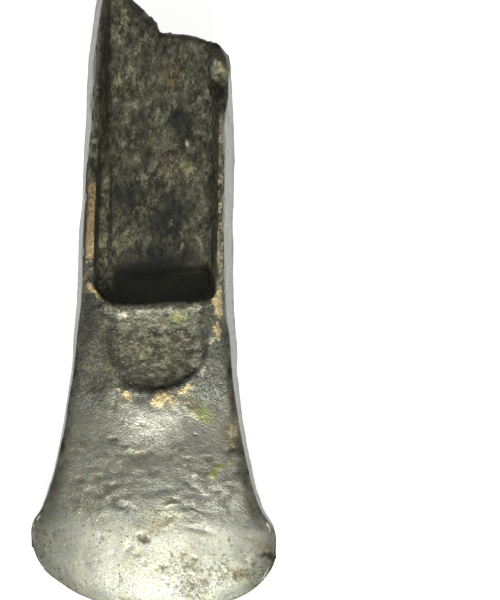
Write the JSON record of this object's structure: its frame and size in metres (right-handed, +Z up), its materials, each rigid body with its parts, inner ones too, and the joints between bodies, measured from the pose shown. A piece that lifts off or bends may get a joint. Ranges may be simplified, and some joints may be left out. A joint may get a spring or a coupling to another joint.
{
  "type": "bronze age axe head",
  "caption": "Cast bronze palstave axe head with flanged haft seats, stop ledges, sunken shield panels and a flared crescent blade; butt broken off.",
  "frame": {"origin": "centre of the bounding box at its bottom, on the surface the axe head lies on", "axes": "+Z up with the axe head lying on its back face, +Y along the axe towards the broken butt, +X to the right seen from above with the butt away"},
  "size_m": [0.0616, 0.1576, 0.0319],
  "materials": {
    "bronze": "cast tin bronze under a dark grey-green patina, glossy on the blade, with golden bare metal where it is worn"
  },
  "bodies": {
    "root": {"axe_head": "bronze"}
  },
  "joints": []
}
